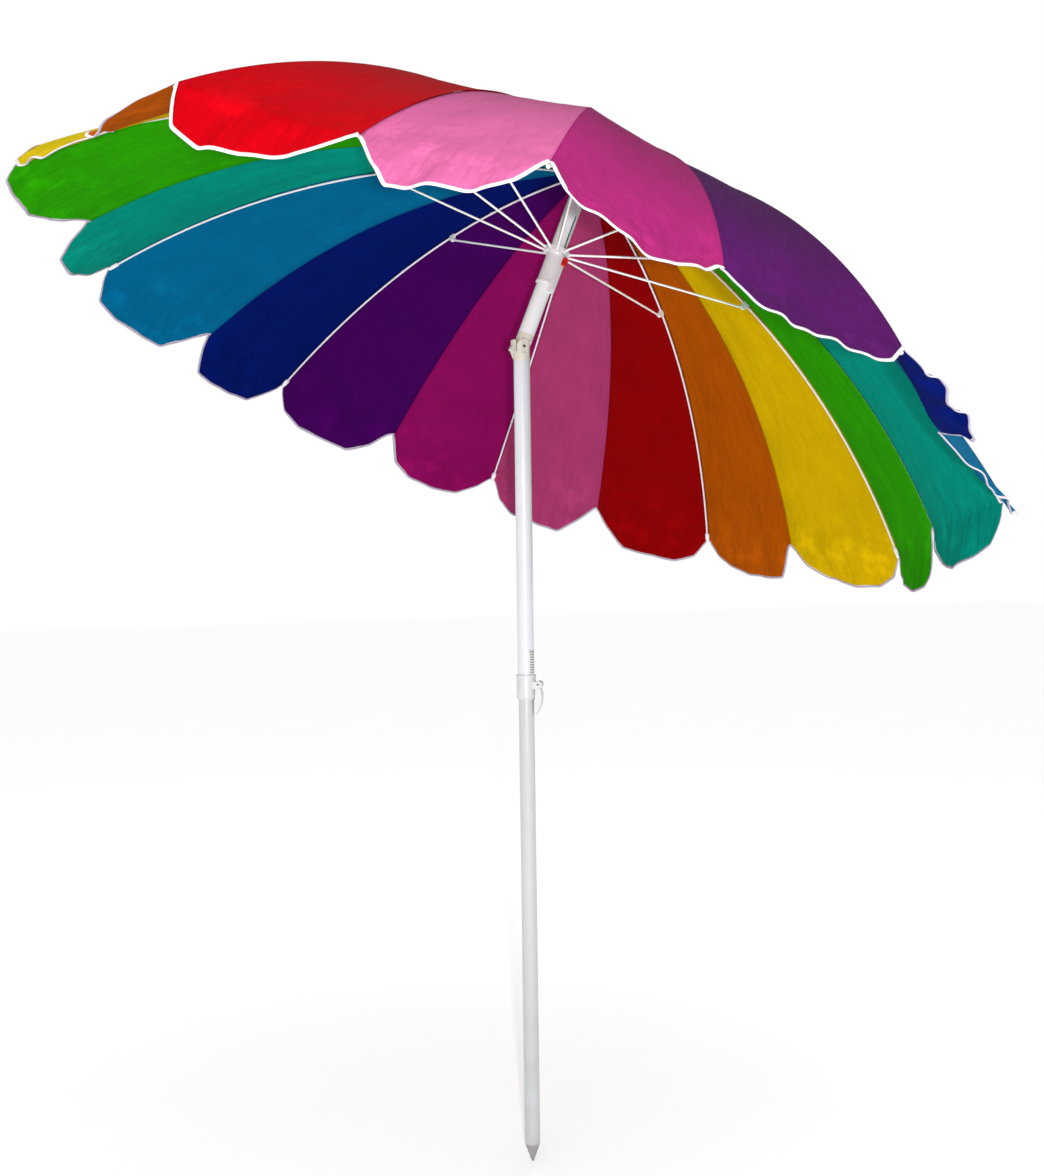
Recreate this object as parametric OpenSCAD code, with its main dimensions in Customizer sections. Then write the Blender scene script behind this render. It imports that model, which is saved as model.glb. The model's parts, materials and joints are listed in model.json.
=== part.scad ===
// Tilting beach umbrella: two telescoping tubes, a push-up runner, ten ribs and ten cloth gores.
// Z is the pole's axis, z = 0 is the lower tube's bottom end, and the canopy leans towards +X.

/* [Pole] */
// Lower tube, outside diameter
lower_od = 33.2; // [28:0.2:33.2]
// Lower tube, length from the spike to its guide bush
lower_len = 1096; // [1060:2:1110]
// Upper tube and canopy tube, outside diameter
upper_od = 35; // [35:0.2:36]
// Upper tube, wall thickness
wall = 0.6; // [0.4:0.05:0.6]
// Height of the tilt pivot above the lower tube's end
pivot_z = 1697; // [1650:1:1760]
// Height of the top of the height collar
collar_z = 1002; // [980:1:1010]
// Height collar, length
collar_len = 52; // [50:1:60]
// Spike, length below the tube
spike_len = 38; // [30:1:60]
// Direction in which the clamp lever stands out, about the pole
lever_turn = -45; // [-180:5:180]

/* [Canopy] */
// Angle at which the canopy leans
tilt = 23; // [0:1:25]
// Height of the rib pivots above the tilt pivot, along the canopy tube
hub_h = 411; // [400:1:430]
// Length of one rib along its curve
rib_len = 1130; // [1000:5:1200]
// Radius of the curve that each rib takes under the pull of the cloth
rib_bend = 1541; // [1300:10:2400]
// Slope of a rib where it leaves the hub
rib_slope = 4.3; // [2:0.1:8]
// Rib and stretcher wire, diameter
wire = 4.6; // [4:0.1:4.6]
// Distance along the rib to its stretcher
clip_at = 441; // [400:1:460]
// Direction of the first rib about the canopy tube
first_rib = 209.6; // [0:0.2:360]
// Cloth thickness
cloth = 1.2; // [1:0.1:2]
// Length of the loose petal beyond the rib tips
petal = 80; // [50:1:90]

/* [Runner] */
// Height of the stretcher pivots above the tilt pivot, along the canopy tube
runner_h = 223; // [215:1:230]
// Length of the sleeve below the notched ring
sleeve_len = 76; // [60:1:80]

/* [Hidden] */
$fn = 64;
ribs = 10;
rib_step = 360 / ribs;
half_step = rib_step / 2;
shaft_gap = 0.05;

tube_r = upper_od / 2;
tube_in = tube_r - wall;
lower_r = lower_od / 2;
lower_wall = 1;

ring_r = 24;        // circle of the wire that the ribs and stretchers turn on
ring_wire = 1.2;
eye_r = 3.8;
eye_hole = 1.3;
eye_t = 3.2;
slot_w = 4.2;
crown_r = 28;
joint_drop = 10;    // how far a stretcher's rivet hangs below its rib
cloth_lift = 5;     // from a rib's centre line to the underside of the cloth

knuckle_r = 15;     // rounding of the tilt joint's tongue and ears about the pivot
tongue = 8;         // half the tongue's thickness
ear_in = 8.3;
ear_out = 15.6;
shoulder = 15.5;
joint_h = 28;       // from the pivot to the canopy tube's lower end
joint_drop_h = 31;  // from the pivot down to the upper tube's upper end
plug_len = 40;

lever_r = 29;       // clamp lever's pivot, from the pole's axis
lever_w = 15;
lever_z = collar_z - 21;
lever_len = 66;
lever_bow = 57;     // radius of the handle's back

boss_turn = first_rib + 2.5 * rib_step;
boss_r = 25.7;
boss_w = 13;
boss_low = 130;
button_h = 202;
catch_low = 233;
catch_len = 74;

hub_top = hub_h + 4;

function rib_angle(l) = rib_slope + l / rib_bend * 180 / PI;
// Point of a rib's centre line at the distance l from its pivot: [out from the axis, up from the tilt pivot]
function rib_at(l) = [
  ring_r + rib_bend * (sin(rib_angle(l)) - sin(rib_slope)),
  hub_h - rib_bend * (cos(rib_slope) - cos(rib_angle(l)))
];
function rib_normal(l) = [sin(rib_angle(l)), cos(rib_angle(l))];

clip_p = rib_at(clip_at) - joint_drop * rib_normal(clip_at);
stretch_run = [clip_p[0] - ring_r, clip_p[1] - runner_h];
stretch_len = norm(stretch_run);
stretch_rise = atan2(stretch_run[1], stretch_run[0]);

numbers = [for (k = [1:ribs]) k];

// Panel colours in order about the canopy, starting at the first rib
panel_colours = ["#d80019", "#de8fc0", "#b8327f", "#5a1c78", "#12227a",
                 "#0b6fa8", "#119a80", "#4fae1c", "#ecc913", "#d4780f"];
shell_white = "#ecedf0";
cream = "#e6decb";

// ---------- helpers ----------

// A tube along Z
module tube(ro, ri, h) {
  difference() {
    cylinder(r = ro, h = h);
    translate([0, 0, -1]) cylinder(r = ri, h = h + 2);
  }
}

// The tilting head's own frame: origin on the tilt pivot, Z along the canopy tube
module head() {
  translate([0, 0, pivot_z]) rotate([0, tilt, 0]) children();
}

// The frame of one rib: X points outwards along it
module at_rib(k) {
  head() rotate([0, 0, first_rib + (k - 1) * rib_step]) children();
}

// Turns an outline drawn as (out, up) into a plate of thickness t, centred on the XZ plane
module plate(t) {
  rotate([90, 0, 0]) linear_extrude(height = t, center = true) children();
}

// A notched disc with a groove for the wire ring; the wire lies at z = 0
module notched_ring(low, high) {
  difference() {
    translate([0, 0, low]) cylinder(r = crown_r, h = high - low);
    rotate_extrude() translate([ring_r - ring_wire - 0.15, -ring_wire - 0.2])
      square([2 * ring_wire + 0.3, high + ring_wire + 2]);
    for (k = numbers) rotate([0, 0, first_rib + k * rib_step])
      translate([ring_r - eye_r - 0.8, -slot_w / 2, low - 1])
        cube([crown_r, slot_w, high - low + 2]);
  }
}

module wire_ring(h) {
  translate([0, 0, h]) rotate_extrude() translate([ring_r, 0]) circle(r = ring_wire, $fn = 24);
}

// ---------- pole ----------

module ground_spike() {
  color("#a9a5ab") {
    land = 4;
    land_r = 15;
    tip_r = 3;
    rotate_extrude() polygon([
      [0, -spike_len], [tip_r - 1, -spike_len], [tip_r, -spike_len + 1],
      [10, -17], [10.4, -15.5], [land_r, -land], [land_r, 0],
      [lower_r - lower_wall - shaft_gap, 0], [lower_r - lower_wall - shaft_gap, 35], [0, 35]
    ]);
  }
}

module lower_pole() {
  color(shell_white) tube(lower_r, lower_r - lower_wall, lower_len);
}

module guide_bush() {
  color("#dcdcdc") translate([0, 0, lower_len]) difference() {
    union() {
      cylinder(r = tube_in - shaft_gap, h = 4);
      translate([0, 0, -28]) cylinder(r = lower_r - lower_wall - shaft_gap, h = 29);
    }
    translate([0, 0, -30]) cylinder(r = 11, h = 40);
  }
}

module upper_pole() {
  low = collar_z - collar_len + 14;
  color(shell_white) translate([0, 0, low]) tube(tube_r, tube_in, pivot_z - joint_drop_h - low);
}

// ---------- height collar and its cam lever ----------

module height_collar() {
  sleeve_r = 20.2;
  bottom = collar_z - collar_len;
  ear_t = 2.6;
  ear_root = 16.4;
  color("#e9eaee") difference() {
    union() {
      rotate_extrude() polygon([
        [lower_r + shaft_gap, bottom], [18.4, bottom], [sleeve_r, bottom + 3],
        [sleeve_r, collar_z - 7], [21, collar_z - 5], [21, collar_z - 2], [19.6, collar_z],
        [tube_r + shaft_gap, collar_z], [tube_r + shaft_gap, bottom + 14],
        [lower_r + shaft_gap, bottom + 14]
      ]);
      for (s = [-1, 1]) rotate([0, 0, lever_turn])
        translate([0, s * (lever_w / 2 + 0.4 + ear_t / 2), 0]) plate(ear_t) {
          translate([lever_r, lever_z]) circle(r = 6.4);
          translate([ear_root, lever_z - 9]) square([lever_r - ear_root, 15.4]);
        }
    }
    // window for the shoe that the cam presses on the lower tube
    rotate([0, 0, lever_turn]) translate([10, -6.3, bottom + 1.5]) cube([20, 12.6, 11]);
    // hole for the lever's pin
    rotate([0, 0, lever_turn]) translate([lever_r, 0, lever_z]) rotate([90, 0, 0])
      cylinder(r = 2.02, h = 40, center = true);
  }
}

module clamp_shoe() {
  bottom = collar_z - collar_len;
  color("#c9c9cc") rotate([0, 0, lever_turn]) intersection() {
    translate([lower_r - 2, -6, bottom + 1.8]) cube([5.8, 12, 10.4]);
    difference() {
      translate([0, 0, bottom]) cylinder(r = 20.2, h = 14);
      translate([0, 0, bottom - 1]) cylinder(r = lower_r + shaft_gap, h = 16);
    }
  }
}

module clamp_pin() {
  color("#8d8f93") rotate([0, 0, lever_turn]) translate([lever_r, 0, lever_z]) rotate([90, 0, 0])
    difference() {
      cylinder(r = 2, h = lever_w + 7, center = true);
      cylinder(r = 1.1, h = lever_w + 9, center = true);
    }
}

// The lever's side outline about its pin: a round head and a bowed handle that hugs the tube
module lever_outline() {
  circle(r = 8);
  intersection() {
    translate([7 - lever_bow, -26]) circle(r = lever_bow);
    translate([-7.4, -lever_len]) square([30, lever_len]);
  }
}

module clamp_lever() {
  web = 2.5;
  color("#e4e5e9") rotate([0, 0, lever_turn]) translate([lever_r, 0, lever_z]) {
    difference() {
      plate(lever_w) lever_outline();
      // the handle is a channel, open towards the tube
      plate(lever_w - 4.4) intersection() {
        translate([7 - web - lever_bow, -26]) circle(r = lever_bow);
        translate([-20, -lever_len + 8]) square([40, lever_len - 17.5]);
      }
      rotate([90, 0, 0]) cylinder(r = 2.06, h = 40, center = true);
    }
    // nose that bears on the clamp shoe
    plate(9) translate([-8.5, -28]) square([14, 8]);
  }
}

// ---------- tilt joint ----------

// Outline about the pivot: a disc with a straight neck that runs to y = h
module knuckle_outline(h) {
  circle(r = knuckle_r);
  if (h > 0) translate([-knuckle_r, 0]) square([2 * knuckle_r, h]);
  if (h < 0) translate([-knuckle_r, h]) square([2 * knuckle_r, -h]);
}

module tilt_socket() {
  lug_in = 6.3;
  color(cream) translate([0, 0, pivot_z]) difference() {
    union() {
      // plug inside the upper tube, and the collar above it
      translate([0, 0, -joint_drop_h - plug_len])
        tube(tube_in - shaft_gap, tube_in - 3, plug_len + 1);
      translate([0, 0, -joint_drop_h]) cylinder(r = tube_r, h = joint_drop_h - knuckle_r - 0.5);
      // ears of the clevis
      intersection() {
        translate([0, 0, -knuckle_r - 1]) cylinder(r = tube_r, h = 2 * knuckle_r + 2);
        for (s = [-1, 1]) translate([0, s * (ear_in + ear_out) / 2, 0]) plate(ear_out - ear_in)
          knuckle_outline(-knuckle_r - 1);
      }
      // lugs that carry the release pawl
      for (s = [-1, 1]) translate([0, s * (lug_in + 1), 0]) plate(2) {
        translate([-19, -12]) circle(r = 3.2);
        polygon([[-22.2, -12], [-15.8, -12], [-13.5, -17], [-13.5, -24], [-17, -26]]);
      }
    }
    rotate([90, 0, 0]) cylinder(r = 3.02, h = 60, center = true);
    for (s = [-1, 1]) translate([0, s * (ear_out + 0.1), 0]) rotate([90, 0, 0])
      cylinder(r = 4.8, h = 5, center = true);
    // pawl's trunnion holes
    translate([-19, 0, -12]) rotate([90, 0, 0]) cylinder(r = 1.56, h = 30, center = true);
    // shallow moulding slot under each pin
    for (s = [-1, 1]) translate([0, s * ear_out, -15]) cube([7, 2.4, 1.6], center = true);
  }
}

module tilt_pin() {
  color("#3c3d40") translate([0, 0, pivot_z]) rotate([90, 0, 0]) difference() {
    cylinder(r = 3, h = 2 * (ear_out - 2.6), center = true);
    cylinder(r = 1.8, h = 60, center = true);
  }
}

module tilt_pawl() {
  color(cream) translate([-19, 0, pivot_z - 12]) difference() {
    union() {
      plate(12) {
        circle(r = 3.2);
        polygon([[-3.2, 0], [-9.5, 4], [-8.6, 7], [-3.4, 15], [-3.4, 24], [-2.2, 25.6], [1.2, 25.6],
                 [3.2, 24], [3.2, 18], [2.8, 0]]);
      }
      rotate([90, 0, 0]) cylinder(r = 1.5, h = 16.2, center = true);
    }
    // finger grooves
    for (h = [17.5, 20, 22.5]) translate([-3.8, 0, h]) rotate([90, 0, 0])
      cylinder(r = 0.7, h = 20, center = true, $fn = 16);
  }
}

module tilt_knuckle() {
  color(cream) head() difference() {
    union() {
      // tongue between the ears
      intersection() {
        plate(2 * tongue) knuckle_outline(shoulder + 1);
        translate([0, 0, -40]) cylinder(r = tube_r, h = 80);
      }
      // shoulder flush with the canopy tube, and its plug
      translate([0, 0, shoulder]) cylinder(r = tube_r, h = joint_h - shoulder);
      translate([0, 0, joint_h - 1]) cylinder(r = tube_in - shaft_gap, h = plug_len + 1);
    }
    rotate([90, 0, 0]) cylinder(r = 3.06, h = 60, center = true);
    translate([0, 0, joint_h - 6]) cylinder(r = tube_in - 3, h = plug_len + 20);
    // notches that the pawl drops into
    for (a = [0, tilt]) rotate([0, -90 - a, 0]) translate([0, 0, knuckle_r - 0.6])
      rotate([90, 0, 0]) cylinder(r = 1.8, h = 40, center = true, $fn = 24);
  }
}

// ---------- canopy tube, hub and top ----------

module canopy_pole() {
  color(shell_white) head() difference() {
    translate([0, 0, joint_h]) tube(tube_r, tube_in, hub_h - 11 - joint_h);
    // slot for the catch, with round ends
    rotate([0, 0, boss_turn - 9]) {
      translate([10, -2.5, catch_low]) cube([20, 5, catch_len]);
      for (h = [catch_low, catch_low + catch_len]) translate([0, 0, h]) rotate([0, 90, 0])
        translate([0, 0, 10]) cylinder(r = 2.5, h = 20);
    }
  }
}

module top_hub() {
  color("#e8e8ea") head() difference() {
    union() {
      translate([0, 0, hub_h]) notched_ring(-5, 4);
      translate([0, 0, hub_h - 11]) cylinder(r = tube_r, h = 7);
      translate([0, 0, hub_h - 36]) cylinder(r = tube_in - shaft_gap, h = 26);
    }
    translate([0, 0, hub_h - 20]) cylinder(r = 4.02, h = 40);
  }
}

module hub_ring() {
  color("#b9bbbf") head() wire_ring(hub_h);
}

module top_cap() {
  base = hub_top + 3.2;
  color("#eff0f2") head() {
    translate([0, 0, hub_h - 18]) cylinder(r = 4, h = base + 19 - hub_h);
    rotate_extrude() polygon(concat(
      [[0, base], [27, base], [29, base + 1], [29, base + 3]],
      [for (a = [15:15:75]) [29 - 20 * (1 - cos(a)), base + 3 + 9 * sin(a)]],
      [[8, base + 13], [6.4, base + 16], [8, base + 20], [6.5, base + 25], [3, base + 28],
       [0, base + 28.6]]
    ));
  }
}

module runner_catch() {
  root = catch_low + catch_len - 2;
  color("#9a9ca0") head() rotate([0, 0, boss_turn - 9]) plate(4) {
    polygon([
      [15.6, root], [15.6, catch_low + 3], [16, catch_low - 0.5], [20.2, catch_low + 1],
      [20.2, catch_low + 4], [17.2, catch_low + 11], [16.8, root]
    ]);
    // rolled root that the leaf flexes about
    translate([16.4, root]) circle(r = 1.1, $fn = 32);
  }
}

// ---------- runner ----------

module runner() {
  low = runner_h - sleeve_len;
  sleeve_r = 19.2;
  color("#eef0f0") head() difference() {
    union() {
      translate([0, 0, runner_h]) notched_ring(-6, 6);
      rotate_extrude() polygon([
        [0, low], [20.6, low], [20.6, low + 4], [sleeve_r, low + 5.5], [sleeve_r, runner_h - 10],
        [21, runner_h - 5], [0, runner_h - 5]
      ]);
      rotate([0, 0, boss_turn]) {
        translate([10, -boss_w / 2, boss_low]) cube([boss_r - 13, boss_w, runner_h - 6 - boss_low]);
        translate([boss_r - 3.5, 0, 0]) plate(boss_w) polygon([
          [0, boss_low], [1.2, boss_low], [3.5, boss_low + 8], [3.5, runner_h - 9],
          [1.5, runner_h - 6], [0, runner_h - 6]
        ]);
      }
    }
    translate([0, 0, boss_low - 5]) cylinder(r = tube_r + shaft_gap, h = 120);
    // pocket for the button
    rotate([0, 0, boss_turn]) translate([19.8, -5.3, button_h - 8.3]) cube([20, 10.6, 16.6]);
  }
}

module runner_ring() {
  color("#b9bbbf") head() wire_ring(runner_h);
}

module runner_button() {
  stem_in = 22.9;
  head_in = 28.9;
  color("#c80a12") head() rotate([0, 0, boss_turn]) translate([0, 0, button_h]) {
    translate([stem_in, -5, -8]) cube([head_in - stem_in + 1, 10, 16]);
    difference() {
      translate([head_in, 0, 0]) rotate([0, 90, 0]) linear_extrude(height = 4.4)
        union() {
          square([19, 10], center = true);
          square([15, 14], center = true);
          for (x = [-7.5, 7.5], y = [-5, 5]) translate([x, y]) circle(r = 2, $fn = 24);
        }
      // dished thumb face
      translate([head_in + 30.2, 0, 0]) rotate([90, 0, 0]) cylinder(r = 27, h = 30, center = true);
    }
  }
}

// ---------- ribs and stretchers ----------

// A flat eye end about the origin, with a tab that runs to x = reach
module eye(reach) {
  difference() {
    plate(eye_t) {
      circle(r = eye_r, $fn = 32);
      translate([0, -wire / 2]) square([reach, wire]);
    }
    rotate([90, 0, 0]) cylinder(r = eye_hole, h = 10, center = true, $fn = 32);
  }
}

module rib(k) {
  start = 7;
  sweep = (rib_len - start) / rib_bend * 180 / PI;
  centre = [ring_r - rib_bend * sin(rib_slope), hub_h - rib_bend * cos(rib_slope)];
  color("#f0f0f2") at_rib(k) {
    translate([centre[0], 0, centre[1]]) rotate([90, 0, 0]) rotate([0, 0, 90 - rib_angle(rib_len)])
      rotate_extrude(angle = sweep, $fn = 128) translate([rib_bend, 0]) circle(d = wire, $fn = 24);
    translate([ring_r, 0, hub_h]) rotate([0, rib_slope, 0]) eye(start + 2);
  }
}

module rib_fittings(k) {
  clip_w = 6.8;
  clip_l = 15;
  channel = wire / 2 + 0.06;
  tip = 22;
  p = rib_at(clip_at);
  q = rib_at(rib_len - tip + 6);
  at_rib(k) {
    // bent clip that hangs the stretcher's rivet below the rib
    color("#e3e4e7") translate([p[0], 0, p[1]]) rotate([0, rib_angle(clip_at), 0]) {
      difference() {
        plate(clip_w) {
          translate([-clip_l / 2, -6]) square([clip_l, 9.4]);
          polygon([[-clip_l / 2, -6], [-4, -joint_drop - 1], [4, -joint_drop - 1], [clip_l / 2, -6]]);
          translate([0, -joint_drop]) circle(r = 4, $fn = 32);
        }
        plate(2 * channel) translate([-30, -40]) square([60, 40 + wire / 2 + 0.1]);
      }
      translate([0, 0, -joint_drop]) rotate([90, 0, 0])
        cylinder(r = 1.3, h = clip_w + 0.8, center = true, $fn = 32);
    }
    // round plastic tip on the rib's end
    color("#f4f4f5") translate([q[0], 0, q[1]]) rotate([0, 90 + rib_angle(rib_len - tip / 2), 0])
      difference() {
        union() {
          cylinder(r = 3.6, h = tip - 3);
          translate([0, 0, tip - 3]) sphere(r = 3.6);
        }
        translate([0, 0, -1]) cylinder(r = wire / 2 + 0.1, h = tip - 4.6);
      }
  }
}

module stretcher(k) {
  tab = 12;
  color("#f0f0f2") at_rib(k) translate([ring_r, 0, runner_h]) rotate([0, -stretch_rise, 0]) {
    eye(8);
    translate([7, 0, 0]) rotate([0, 90, 0]) cylinder(d = wire, h = stretch_len - tab - 5);
    translate([stretch_len, 0, 0]) difference() {
      plate(eye_t) {
        circle(r = eye_r, $fn = 32);
        translate([-tab, -wire / 2]) square([tab, wire]);
      }
      rotate([90, 0, 0]) cylinder(r = 2.1, h = 10, center = true, $fn = 32);
    }
  }
}

// ---------- cloth ----------

// How far the seam between two ribs sags inwards and downwards at the distance l
function seam_in(l) = 28 * pow(l / rib_len, 2);
function seam_down(l) = 9 * pow(l / rib_len, 2);

// Point of the cloth at the distance l, at the share t of the way from the rib to the seam between
// ribs, on the side s, lifted by h
function cloth_at(l, t, s, h) =
  let (m = min(l, rib_len), p = rib_at(m) + h * rib_normal(m),
       over = max(0, l - rib_len), fall = rib_angle(rib_len) + 16,
       rib_p = [p[0] + over * cos(fall), 0, p[1] - over * sin(fall)],
       r = rib_p[0] * cos(half_step) - seam_in(m),
       mid_p = [r * cos(half_step), s * r * sin(half_step), rib_p[2] - seam_down(m)])
  rib_p + t * (mid_p - rib_p);

rows_l = concat([8], [for (i = [1:12]) 8 + (rib_len - 8) * i / 12]);
petal_rows = [0.35, 0.7, 0.92, 1];
petal_trim = [0.05, 0.07, 0.13, 0.3];
gore_share = 0.93;
seam_share = 0.002;

// One panel: a thin closed sheet from the rib's seam to the seam between ribs, with its petal
module panel(s) {
  rows = concat(
    [for (l = rows_l) [l, seam_share, gore_share]],
    [for (i = [0:3]) [rib_len + petal * petal_rows[i], petal_trim[i], gore_share - petal_trim[i]]]
  );
  n = len(rows);
  points = [for (h = [cloth_lift, cloth_lift + cloth], row = rows, side = [1, 2])
    cloth_at(row[0], row[side], s, h)];
  // corner index of a row, side 0 or 1, on the lower or upper sheet
  function at(i, side, top) = top * 2 * n + 2 * i + side;
  quads = concat(
    [for (i = [0:n - 2]) [at(i, 0, 1), at(i, 1, 1), at(i + 1, 1, 1), at(i + 1, 0, 1)]],
    [for (i = [0:n - 2]) [at(i, 0, 0), at(i + 1, 0, 0), at(i + 1, 1, 0), at(i, 1, 0)]],
    [for (i = [0:n - 2]) [at(i, 0, 0), at(i, 0, 1), at(i + 1, 0, 1), at(i + 1, 0, 0)]],
    [for (i = [0:n - 2]) [at(i, 1, 0), at(i + 1, 1, 0), at(i + 1, 1, 1), at(i, 1, 1)]],
    [[at(0, 0, 0), at(0, 1, 0), at(0, 1, 1), at(0, 0, 1)],
     [at(n - 1, 0, 0), at(n - 1, 0, 1), at(n - 1, 1, 1), at(n - 1, 1, 0)]]
  );
  // triangles, so that no face is bent, wound outwards on either side
  faces = [for (q = quads, half = [0, 1])
    let (f = half == 0 ? [q[0], q[1], q[2]] : [q[0], q[2], q[3]]) s > 0 ? f : [f[2], f[1], f[0]]];
  polyhedron(points = points, faces = faces);
}

module canopy_gore(k) {
  at_rib(k) {
    color(panel_colours[(2 * k - 2) % ribs]) panel(1);
    color(panel_colours[(2 * k + ribs - 3) % ribs]) panel(-1);
  }
}

// ---------- the assembly ----------

ground_spike();
lower_pole();
guide_bush();
upper_pole();
height_collar();
clamp_shoe();
clamp_pin();
clamp_lever();
tilt_socket();
tilt_pin();
tilt_pawl();
tilt_knuckle();
canopy_pole();
top_hub();
hub_ring();
top_cap();
runner_catch();
runner();
runner_ring();
runner_button();
for (k = numbers) {
  rib(k);
  rib_fittings(k);
  stretcher(k);
  canopy_gore(k);
}
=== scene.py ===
"""Looks of a tilting rainbow beach umbrella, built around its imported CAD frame. Metres, row frame."""

import json
import math

import bmesh
import bpy
import numpy as np
from mathutils import Matrix, Vector


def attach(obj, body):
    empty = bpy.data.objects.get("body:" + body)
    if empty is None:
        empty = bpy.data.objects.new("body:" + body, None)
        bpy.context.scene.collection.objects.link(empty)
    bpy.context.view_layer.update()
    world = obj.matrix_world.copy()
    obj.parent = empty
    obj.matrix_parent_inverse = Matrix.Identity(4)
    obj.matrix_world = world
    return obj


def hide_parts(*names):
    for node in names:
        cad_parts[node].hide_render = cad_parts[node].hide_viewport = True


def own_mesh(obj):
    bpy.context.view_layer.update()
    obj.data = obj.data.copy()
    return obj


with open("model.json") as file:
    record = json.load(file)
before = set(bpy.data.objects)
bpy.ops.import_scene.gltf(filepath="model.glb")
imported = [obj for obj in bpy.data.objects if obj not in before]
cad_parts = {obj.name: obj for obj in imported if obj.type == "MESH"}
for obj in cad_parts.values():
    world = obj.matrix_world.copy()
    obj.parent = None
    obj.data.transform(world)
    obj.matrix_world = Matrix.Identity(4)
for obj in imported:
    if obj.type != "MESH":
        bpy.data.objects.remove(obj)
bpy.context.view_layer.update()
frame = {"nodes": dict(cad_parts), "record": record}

# ---------- the object's own measures, as in the CAD source ----------
PIVOT = np.array([0, 0, 1.697])      # the tilt joint's pin
TILT = math.radians(23)
FIRST_RIB = math.radians(209.6)
RIBS = 10
PANELS = 2 * RIBS
HUB_H = 0.411                        # the ribs' ring, above the pin
RIB_LEN = 1.130
RIB_BEND = 1.541                     # radius that a rib is bent to
RIB_SLOPE = math.radians(4.3)        # how a rib starts downwards
RING_R = 0.024
TUBE_R = 0.0175
HALF = math.radians(18)              # half a bay, between a rib and the seam beside it
GROUND = -0.038                      # the spike's tip

# the tilting head's own axes: across, sideways and along the canopy tube
HEAD = np.array([[math.cos(TILT), 0, -math.sin(TILT)], [0, 1, 0], [math.sin(TILT), 0, math.cos(TILT)]])

# colours of the panels, ten that repeat, from the first rib: the cloth's face, and for its underside a darker
# copy that is painted shade
COLOURS = {
    "red": ((0.466, 0.000288, 0.00442), (0.21, 0.000142, 0.000912)),
    "pink": ((0.603, 0.126, 0.31), (0.318, 0.0331, 0.121)),
    "magenta": ((0.361, 0.0195, 0.152), (0.199, 0.00236, 0.0791)),
    "purple": ((0.0814, 0.00811, 0.105), (0.0417, 0.000285, 0.0747)),
    "navy": ((0.0018, 0.01, 0.15), (0.000435, 0.00574, 0.101)),
    "blue": ((0.000546, 0.125, 0.265), (0.000212, 0.103, 0.226)),
    "teal": ((0.0006, 0.29, 0.22), (0.000264, 0.229, 0.168)),
    "green": ((0.035, 0.35, 0.002), (0.0184, 0.273, 0.000558)),
    "yellow": ((0.6, 0.44, 0.0015), (0.509, 0.325, 0.000142)),
    "orange": ((0.48, 0.1, 0.0008), (0.349, 0.0657, 0.00031))}


def from_head(points):
    """Points of the tilting head's frame, in the row frame"""
    return PIVOT + np.asarray(points, float) @ HEAD


def from_rib(k, points):
    """Points of rib k's own frame, X outwards along it, in the row frame"""
    a = FIRST_RIB + (k - 1) * 2 * HALF
    c, s = math.cos(a), math.sin(a)
    p = np.asarray(points, float)
    turned = np.stack([c * p[..., 0] - s * p[..., 1], s * p[..., 0] + c * p[..., 1], p[..., 2]], -1)
    return from_head(turned)


def rib_angle(l):
    """How steeply a rib runs down at the distance l along it"""
    return RIB_SLOPE + np.asarray(l, float) / RIB_BEND


def rib_at(l, lift=0.0):
    """Out and up of a rib's centre line at the distance l, lifted off it by lift"""
    a = rib_angle(l)
    out = RING_R + RIB_BEND * (np.sin(a) - math.sin(RIB_SLOPE)) + lift * np.sin(a)
    up = HUB_H - RIB_BEND * (math.cos(RIB_SLOPE) - np.cos(a)) + lift * np.cos(a)
    return out, up


# ---------- meshes ----------
def mesh_object(name, verts, faces, materials, smooth=True, uv=None, second=()):
    """An object of its own mesh; the faces in second take the second material"""
    mesh = bpy.data.meshes.new(name)
    mesh.from_pydata([tuple(map(float, v)) for v in verts], [], [tuple(map(int, f)) for f in faces])
    mesh.validate()
    bm = bmesh.new()
    bm.from_mesh(mesh)
    bmesh.ops.recalc_face_normals(bm, faces=bm.faces)
    bm.to_mesh(mesh)
    bm.free()
    for material in materials if isinstance(materials, (list, tuple)) else [materials]:
        mesh.materials.append(material)
    for i in second:
        mesh.polygons[i].material_index = 1
    if uv is not None:
        layer = mesh.uv_layers.new(name="UVMap")
        index = np.zeros(len(mesh.loops), int)
        mesh.loops.foreach_get("vertex_index", index)
        layer.data.foreach_set("uv", np.asarray(uv, float)[index].ravel())
    if smooth:
        mesh.shade_smooth()
    obj = bpy.data.objects.new(name, mesh)
    bpy.context.scene.collection.objects.link(obj)
    return obj


def grid_faces(rows, cols, base=0, flip=False, close=False):
    """Quads of a grid of rows by cols; close joins the last column to the first"""
    faces = []
    for i in range(rows - 1):
        for j in range(cols if close else cols - 1):
            a = base + i * cols + j
            b = base + i * cols + (j + 1) % cols
            f = (a, b, b + cols, a + cols)
            faces.append(f[::-1] if flip else f)
    return faces


def sheet_mesh(name, top, under, materials, uv):
    """A closed sheet between two grids of points of the same size"""
    rows, cols = top.shape[:2]
    n = rows * cols
    faces = grid_faces(rows, cols, flip=True) + grid_faces(rows, cols, n)
    lower = range(len(faces) // 2, len(faces))
    rim = ([(0, j) for j in range(cols)] + [(i, cols - 1) for i in range(1, rows)]
           + [(rows - 1, j) for j in range(cols - 2, -1, -1)] + [(i, 0) for i in range(rows - 2, 0, -1)])
    ids = [i * cols + j for i, j in rim]
    for a, b in zip(ids, ids[1:] + ids[:1]):
        faces.append((a, b, b + n, a + n))
    verts = np.concatenate([top.reshape(-1, 3), under.reshape(-1, 3)])
    both = np.concatenate([uv.reshape(-1, 2)] * 2)
    return mesh_object(name, verts, faces, materials, uv=both, second=lower)


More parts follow.
